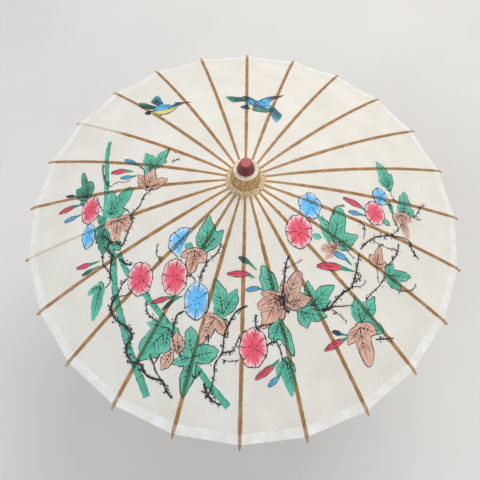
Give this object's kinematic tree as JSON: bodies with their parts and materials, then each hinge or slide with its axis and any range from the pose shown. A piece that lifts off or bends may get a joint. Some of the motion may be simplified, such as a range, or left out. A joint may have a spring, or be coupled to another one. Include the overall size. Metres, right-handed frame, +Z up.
{
  "type": "oil paper umbrella",
  "caption": "Folding parasol: bamboo ribs and stretchers on a turned stick, painted oiled-paper canopy, red conical finial and sliding runner.",
  "frame": {"origin": "centre of the grip's lower end", "axes": "+Z up the stick to the finial, one rib along -Y"},
  "size_m": [0.6, 0.6, 0.4499],
  "materials": {
    "bamboo_stick": "satin",
    "turned_grip": "satin",
    "turned_head": "satin",
    "tie_wire": "satin",
    "red_lacquer": "gloss",
    "cream_collar": "matt",
    "oiled_paper": "matt",
    "hem_paper": "matt",
    "turned_runner": "satin",
    "catch_bamboo": "satin",
    "bamboo_rib": "satin",
    "bamboo_stretcher": "satin"
  },
  "bodies": {
    "stick": {"shaft": "bamboo_stick", "grip": "turned_grip", "head": "turned_head", "head_tie": "tie_wire", "finial": "red_lacquer", "finial_collar": "cream_collar", "stop_pin": "tie_wire", "canopy": "oiled_paper", "hem": "hem_paper"},
    "runner": {"runner": "turned_runner", "runner_tie": "tie_wire"},
    "catch": {"catch": "catch_bamboo"},
    "rib_01": {"rib_01": "bamboo_rib"},
    "stretcher_01": {"stretcher_01": "bamboo_stretcher"},
    "rib_02": {"rib_02": "bamboo_rib"},
    "stretcher_02": {"stretcher_02": "bamboo_stretcher"},
    "rib_03": {"rib_03": "bamboo_rib"},
    "stretcher_03": {"stretcher_03": "bamboo_stretcher"},
    "rib_04": {"rib_04": "bamboo_rib"},
    "stretcher_04": {"stretcher_04": "bamboo_stretcher"},
    "rib_05": {"rib_05": "bamboo_rib"},
    "stretcher_05": {"stretcher_05": "bamboo_stretcher"},
    "rib_06": {"rib_06": "bamboo_rib"},
    "stretcher_06": {"stretcher_06": "bamboo_stretcher"},
    "rib_07": {"rib_07": "bamboo_rib"},
    "stretcher_07": {"stretcher_07": "bamboo_stretcher"},
    "rib_08": {"rib_08": "bamboo_rib"},
    "stretcher_08": {"stretcher_08": "bamboo_stretcher"},
    "rib_09": {"rib_09": "bamboo_rib"},
    "stretcher_09": {"stretcher_09": "bamboo_stretcher"},
    "rib_10": {"rib_10": "bamboo_rib"},
    "stretcher_10": {"stretcher_10": "bamboo_stretcher"},
    "rib_11": {"rib_11": "bamboo_rib"},
    "stretcher_11": {"stretcher_11": "bamboo_stretcher"},
    "rib_12": {"rib_12": "bamboo_rib"},
    "stretcher_12": {"stretcher_12": "bamboo_stretcher"},
    "rib_13": {"rib_13": "bamboo_rib"},
    "stretcher_13": {"stretcher_13": "bamboo_stretcher"},
    "rib_14": {"rib_14": "bamboo_rib"},
    "stretcher_14": {"stretcher_14": "bamboo_stretcher"},
    "rib_15": {"rib_15": "bamboo_rib"},
    "stretcher_15": {"stretcher_15": "bamboo_stretcher"},
    "rib_16": {"rib_16": "bamboo_rib"},
    "stretcher_16": {"stretcher_16": "bamboo_stretcher"},
    "rib_17": {"rib_17": "bamboo_rib"},
    "stretcher_17": {"stretcher_17": "bamboo_stretcher"},
    "rib_18": {"rib_18": "bamboo_rib"},
    "stretcher_18": {"stretcher_18": "bamboo_stretcher"},
    "rib_19": {"rib_19": "bamboo_rib"},
    "stretcher_19": {"stretcher_19": "bamboo_stretcher"},
    "rib_20": {"rib_20": "bamboo_rib"},
    "stretcher_20": {"stretcher_20": "bamboo_stretcher"},
    "rib_21": {"rib_21": "bamboo_rib"},
    "stretcher_21": {"stretcher_21": "bamboo_stretcher"},
    "rib_22": {"rib_22": "bamboo_rib"},
    "stretcher_22": {"stretcher_22": "bamboo_stretcher"},
    "rib_23": {"rib_23": "bamboo_rib"},
    "stretcher_23": {"stretcher_23": "bamboo_stretcher"},
    "rib_24": {"rib_24": "bamboo_rib"},
    "stretcher_24": {"stretcher_24": "bamboo_stretcher"}
  },
  "joints": [
    {"name": "runner_slide", "type": "slide", "parent": "stick", "child": "runner", "axis": [0, 0, 1], "range_m": [-0.16332, 0], "deforming": ["canopy", "hem", "catch", "runner_tie"]},
    {"name": "catch_press", "type": "hinge", "parent": "stick", "child": "catch", "pos_m": [0.0012, 0, 0.261], "axis": [0, -1, 0], "range_deg": [0, 6.2], "stiffness_Nm_per_rad": 0.05, "springref_deg": -2.86},
    {"name": "rib_01_fold", "type": "hinge", "parent": "stick", "child": "rib_01", "pos_m": [0, -0.0145, 0.41], "axis": [1, 0, 0], "range_deg": [0, 71.2]},
    {"name": "stretcher_01_fold", "type": "hinge", "parent": "rib_01", "child": "stretcher_01", "pos_m": [0, -0.128, 0.38667], "axis": [1, 0, 0], "range_deg": [-127.48, 0]},
    {"name": "rib_02_fold", "type": "hinge", "parent": "stick", "child": "rib_02", "pos_m": [-0.00375, -0.01401, 0.41], "axis": [0.9659, -0.2588, 0], "range_deg": [0, 71.2]},
    {"name": "stretcher_02_fold", "type": "hinge", "parent": "rib_02", "child": "stretcher_02", "pos_m": [-0.03313, -0.12364, 0.38667], "axis": [0.9659, -0.2588, 0], "range_deg": [-127.48, 0]},
    {"name": "rib_03_fold", "type": "hinge", "parent": "stick", "child": "rib_03", "pos_m": [-0.00725, -0.01256, 0.41], "axis": [0.866, -0.5, 0], "range_deg": [0, 71.2]},
    {"name": "stretcher_03_fold", "type": "hinge", "parent": "rib_03", "child": "stretcher_03", "pos_m": [-0.064, -0.11085, 0.38667], "axis": [0.866, -0.5, 0], "range_deg": [-127.48, 0]},
    {"name": "rib_04_fold", "type": "hinge", "parent": "stick", "child": "rib_04", "pos_m": [-0.01025, -0.01025, 0.41], "axis": [0.7071, -0.7071, 0], "range_deg": [0, 71.2]},
    {"name": "stretcher_04_fold", "type": "hinge", "parent": "rib_04", "child": "stretcher_04", "pos_m": [-0.09051, -0.09051, 0.38667], "axis": [0.7071, -0.7071, 0], "range_deg": [-127.48, 0]},
    {"name": "rib_05_fold", "type": "hinge", "parent": "stick", "child": "rib_05", "pos_m": [-0.01256, -0.00725, 0.41], "axis": [0.5, -0.866, 0], "range_deg": [0, 71.2]},
    {"name": "stretcher_05_fold", "type": "hinge", "parent": "rib_05", "child": "stretcher_05", "pos_m": [-0.11085, -0.064, 0.38667], "axis": [0.5, -0.866, 0], "range_deg": [-127.48, 0]},
    {"name": "rib_06_fold", "type": "hinge", "parent": "stick", "child": "rib_06", "pos_m": [-0.01401, -0.00375, 0.41], "axis": [0.2588, -0.9659, 0], "range_deg": [0, 71.2]},
    {"name": "stretcher_06_fold", "type": "hinge", "parent": "rib_06", "child": "stretcher_06", "pos_m": [-0.12364, -0.03313, 0.38667], "axis": [0.2588, -0.9659, 0], "range_deg": [-127.48, 0]},
    {"name": "rib_07_fold", "type": "hinge", "parent": "stick", "child": "rib_07", "pos_m": [-0.0145, 0, 0.41], "axis": [0, -1, 0], "range_deg": [0, 71.2]},
    {"name": "stretcher_07_fold", "type": "hinge", "parent": "rib_07", "child": "stretcher_07", "pos_m": [-0.128, 0, 0.38667], "axis": [0, -1, 0], "range_deg": [-127.48, 0]},
    {"name": "rib_08_fold", "type": "hinge", "parent": "stick", "child": "rib_08", "pos_m": [-0.01401, 0.00375, 0.41], "axis": [-0.2588, -0.9659, 0], "range_deg": [0, 71.2]},
    {"name": "stretcher_08_fold", "type": "hinge", "parent": "rib_08", "child": "stretcher_08", "pos_m": [-0.12364, 0.03313, 0.38667], "axis": [-0.2588, -0.9659, 0], "range_deg": [-127.48, 0]},
    {"name": "rib_09_fold", "type": "hinge", "parent": "stick", "child": "rib_09", "pos_m": [-0.01256, 0.00725, 0.41], "axis": [-0.5, -0.866, 0], "range_deg": [0, 71.2]},
    {"name": "stretcher_09_fold", "type": "hinge", "parent": "rib_09", "child": "stretcher_09", "pos_m": [-0.11085, 0.064, 0.38667], "axis": [-0.5, -0.866, 0], "range_deg": [-127.48, 0]},
    {"name": "rib_10_fold", "type": "hinge", "parent": "stick", "child": "rib_10", "pos_m": [-0.01025, 0.01025, 0.41], "axis": [-0.7071, -0.7071, 0], "range_deg": [0, 71.2]},
    {"name": "stretcher_10_fold", "type": "hinge", "parent": "rib_10", "child": "stretcher_10", "pos_m": [-0.09051, 0.09051, 0.38667], "axis": [-0.7071, -0.7071, 0], "range_deg": [-127.48, 0]},
    {"name": "rib_11_fold", "type": "hinge", "parent": "stick", "child": "rib_11", "pos_m": [-0.00725, 0.01256, 0.41], "axis": [-0.866, -0.5, 0], "range_deg": [0, 71.2]},
    {"name": "stretcher_11_fold", "type": "hinge", "parent": "rib_11", "child": "stretcher_11", "pos_m": [-0.064, 0.11085, 0.38667], "axis": [-0.866, -0.5, 0], "range_deg": [-127.48, 0]},
    {"name": "rib_12_fold", "type": "hinge", "parent": "stick", "child": "rib_12", "pos_m": [-0.00375, 0.01401, 0.41], "axis": [-0.9659, -0.2588, 0], "range_deg": [0, 71.2]},
    {"name": "stretcher_12_fold", "type": "hinge", "parent": "rib_12", "child": "stretcher_12", "pos_m": [-0.03313, 0.12364, 0.38667], "axis": [-0.9659, -0.2588, 0], "range_deg": [-127.48, 0]},
    {"name": "rib_13_fold", "type": "hinge", "parent": "stick", "child": "rib_13", "pos_m": [0, 0.0145, 0.41], "axis": [-1, 0, 0], "range_deg": [0, 71.2]},
    {"name": "stretcher_13_fold", "type": "hinge", "parent": "rib_13", "child": "stretcher_13", "pos_m": [0, 0.128, 0.38667], "axis": [-1, 0, 0], "range_deg": [-127.48, 0]},
    {"name": "rib_14_fold", "type": "hinge", "parent": "stick", "child": "rib_14", "pos_m": [0.00375, 0.01401, 0.41], "axis": [-0.9659, 0.2588, 0], "range_deg": [0, 71.2]},
    {"name": "stretcher_14_fold", "type": "hinge", "parent": "rib_14", "child": "stretcher_14", "pos_m": [0.03313, 0.12364, 0.38667], "axis": [-0.9659, 0.2588, 0], "range_deg": [-127.48, 0]},
    {"name": "rib_15_fold", "type": "hinge", "parent": "stick", "child": "rib_15", "pos_m": [0.00725, 0.01256, 0.41], "axis": [-0.866, 0.5, 0], "range_deg": [0, 71.2]},
    {"name": "stretcher_15_fold", "type": "hinge", "parent": "rib_15", "child": "stretcher_15", "pos_m": [0.064, 0.11085, 0.38667], "axis": [-0.866, 0.5, 0], "range_deg": [-127.48, 0]},
    {"name": "rib_16_fold", "type": "hinge", "parent": "stick", "child": "rib_16", "pos_m": [0.01025, 0.01025, 0.41], "axis": [-0.7071, 0.7071, 0], "range_deg": [0, 71.2]},
    {"name": "stretcher_16_fold", "type": "hinge", "parent": "rib_16", "child": "stretcher_16", "pos_m": [0.09051, 0.09051, 0.38667], "axis": [-0.7071, 0.7071, 0], "range_deg": [-127.48, 0]},
    {"name": "rib_17_fold", "type": "hinge", "parent": "stick", "child": "rib_17", "pos_m": [0.01256, 0.00725, 0.41], "axis": [-0.5, 0.866, 0], "range_deg": [0, 71.2]},
    {"name": "stretcher_17_fold", "type": "hinge", "parent": "rib_17", "child": "stretcher_17", "pos_m": [0.11085, 0.064, 0.38667], "axis": [-0.5, 0.866, 0], "range_deg": [-127.48, 0]},
    {"name": "rib_18_fold", "type": "hinge", "parent": "stick", "child": "rib_18", "pos_m": [0.01401, 0.00375, 0.41], "axis": [-0.2588, 0.9659, 0], "range_deg": [0, 71.2]},
    {"name": "stretcher_18_fold", "type": "hinge", "parent": "rib_18", "child": "stretcher_18", "pos_m": [0.12364, 0.03313, 0.38667], "axis": [-0.2588, 0.9659, 0], "range_deg": [-127.48, 0]},
    {"name": "rib_19_fold", "type": "hinge", "parent": "stick", "child": "rib_19", "pos_m": [0.0145, 0, 0.41], "axis": [0, 1, 0], "range_deg": [0, 71.2]},
    {"name": "stretcher_19_fold", "type": "hinge", "parent": "rib_19", "child": "stretcher_19", "pos_m": [0.128, 0, 0.38667], "axis": [0, 1, 0], "range_deg": [-127.48, 0]},
    {"name": "rib_20_fold", "type": "hinge", "parent": "stick", "child": "rib_20", "pos_m": [0.01401, -0.00375, 0.41], "axis": [0.2588, 0.9659, 0], "range_deg": [0, 71.2]},
    {"name": "stretcher_20_fold", "type": "hinge", "parent": "rib_20", "child": "stretcher_20", "pos_m": [0.12364, -0.03313, 0.38667], "axis": [0.2588, 0.9659, 0], "range_deg": [-127.48, 0]},
    {"name": "rib_21_fold", "type": "hinge", "parent": "stick", "child": "rib_21", "pos_m": [0.01256, -0.00725, 0.41], "axis": [0.5, 0.866, 0], "range_deg": [0, 71.2]},
    {"name": "stretcher_21_fold", "type": "hinge", "parent": "rib_21", "child": "stretcher_21", "pos_m": [0.11085, -0.064, 0.38667], "axis": [0.5, 0.866, 0], "range_deg": [-127.48, 0]},
    {"name": "rib_22_fold", "type": "hinge", "parent": "stick", "child": "rib_22", "pos_m": [0.01025, -0.01025, 0.41], "axis": [0.7071, 0.7071, 0], "range_deg": [0, 71.2]},
    {"name": "stretcher_22_fold", "type": "hinge", "parent": "rib_22", "child": "stretcher_22", "pos_m": [0.09051, -0.09051, 0.38667], "axis": [0.7071, 0.7071, 0], "range_deg": [-127.48, 0]},
    {"name": "rib_23_fold", "type": "hinge", "parent": "stick", "child": "rib_23", "pos_m": [0.00725, -0.01256, 0.41], "axis": [0.866, 0.5, 0], "range_deg": [0, 71.2]},
    {"name": "stretcher_23_fold", "type": "hinge", "parent": "rib_23", "child": "stretcher_23", "pos_m": [0.064, -0.11085, 0.38667], "axis": [0.866, 0.5, 0], "range_deg": [-127.48, 0]},
    {"name": "rib_24_fold", "type": "hinge", "parent": "stick", "child": "rib_24", "pos_m": [0.00375, -0.01401, 0.41], "axis": [0.9659, 0.2588, 0], "range_deg": [0, 71.2]},
    {"name": "stretcher_24_fold", "type": "hinge", "parent": "rib_24", "child": "stretcher_24", "pos_m": [0.03313, -0.12364, 0.38667], "axis": [0.9659, 0.2588, 0], "range_deg": [-127.48, 0]}
  ],
  "couplings": [
    {"joint": "rib_01_fold", "follows": "runner_slide", "rad_per_m": -7.6068},
    {"joint": "stretcher_01_fold", "follows": "runner_slide", "rad_per_m": 13.621},
    {"joint": "rib_02_fold", "follows": "runner_slide", "rad_per_m": -7.6068},
    {"joint": "stretcher_02_fold", "follows": "runner_slide", "rad_per_m": 13.621},
    {"joint": "rib_03_fold", "follows": "runner_slide", "rad_per_m": -7.6068},
    {"joint": "stretcher_03_fold", "follows": "runner_slide", "rad_per_m": 13.621},
    {"joint": "rib_04_fold", "follows": "runner_slide", "rad_per_m": -7.6068},
    {"joint": "stretcher_04_fold", "follows": "runner_slide", "rad_per_m": 13.621},
    {"joint": "rib_05_fold", "follows": "runner_slide", "rad_per_m": -7.6068},
    {"joint": "stretcher_05_fold", "follows": "runner_slide", "rad_per_m": 13.621},
    {"joint": "rib_06_fold", "follows": "runner_slide", "rad_per_m": -7.6068},
    {"joint": "stretcher_06_fold", "follows": "runner_slide", "rad_per_m": 13.621},
    {"joint": "rib_07_fold", "follows": "runner_slide", "rad_per_m": -7.6068},
    {"joint": "stretcher_07_fold", "follows": "runner_slide", "rad_per_m": 13.621},
    {"joint": "rib_08_fold", "follows": "runner_slide", "rad_per_m": -7.6068},
    {"joint": "stretcher_08_fold", "follows": "runner_slide", "rad_per_m": 13.621},
    {"joint": "rib_09_fold", "follows": "runner_slide", "rad_per_m": -7.6068},
    {"joint": "stretcher_09_fold", "follows": "runner_slide", "rad_per_m": 13.621},
    {"joint": "rib_10_fold", "follows": "runner_slide", "rad_per_m": -7.6068},
    {"joint": "stretcher_10_fold", "follows": "runner_slide", "rad_per_m": 13.621},
    {"joint": "rib_11_fold", "follows": "runner_slide", "rad_per_m": -7.6068},
    {"joint": "stretcher_11_fold", "follows": "runner_slide", "rad_per_m": 13.621},
    {"joint": "rib_12_fold", "follows": "runner_slide", "rad_per_m": -7.6068},
    {"joint": "stretcher_12_fold", "follows": "runner_slide", "rad_per_m": 13.621},
    {"joint": "rib_13_fold", "follows": "runner_slide", "rad_per_m": -7.6068},
    {"joint": "stretcher_13_fold", "follows": "runner_slide", "rad_per_m": 13.621},
    {"joint": "rib_14_fold", "follows": "runner_slide", "rad_per_m": -7.6068},
    {"joint": "stretcher_14_fold", "follows": "runner_slide", "rad_per_m": 13.621},
    {"joint": "rib_15_fold", "follows": "runner_slide", "rad_per_m": -7.6068},
    {"joint": "stretcher_15_fold", "follows": "runner_slide", "rad_per_m": 13.621},
    {"joint": "rib_16_fold", "follows": "runner_slide", "rad_per_m": -7.6068},
    {"joint": "stretcher_16_fold", "follows": "runner_slide", "rad_per_m": 13.621},
    {"joint": "rib_17_fold", "follows": "runner_slide", "rad_per_m": -7.6068},
    {"joint": "stretcher_17_fold", "follows": "runner_slide", "rad_per_m": 13.621},
    {"joint": "rib_18_fold", "follows": "runner_slide", "rad_per_m": -7.6068},
    {"joint": "stretcher_18_fold", "follows": "runner_slide", "rad_per_m": 13.621},
    {"joint": "rib_19_fold", "follows": "runner_slide", "rad_per_m": -7.6068},
    {"joint": "stretcher_19_fold", "follows": "runner_slide", "rad_per_m": 13.621},
    {"joint": "rib_20_fold", "follows": "runner_slide", "rad_per_m": -7.6068},
    {"joint": "stretcher_20_fold", "follows": "runner_slide", "rad_per_m": 13.621},
    {"joint": "rib_21_fold", "follows": "runner_slide", "rad_per_m": -7.6068},
    {"joint": "stretcher_21_fold", "follows": "runner_slide", "rad_per_m": 13.621},
    {"joint": "rib_22_fold", "follows": "runner_slide", "rad_per_m": -7.6068},
    {"joint": "stretcher_22_fold", "follows": "runner_slide", "rad_per_m": 13.621},
    {"joint": "rib_23_fold", "follows": "runner_slide", "rad_per_m": -7.6068},
    {"joint": "stretcher_23_fold", "follows": "runner_slide", "rad_per_m": 13.621},
    {"joint": "rib_24_fold", "follows": "runner_slide", "rad_per_m": -7.6068},
    {"joint": "stretcher_24_fold", "follows": "runner_slide", "rad_per_m": 13.621}
  ]
}
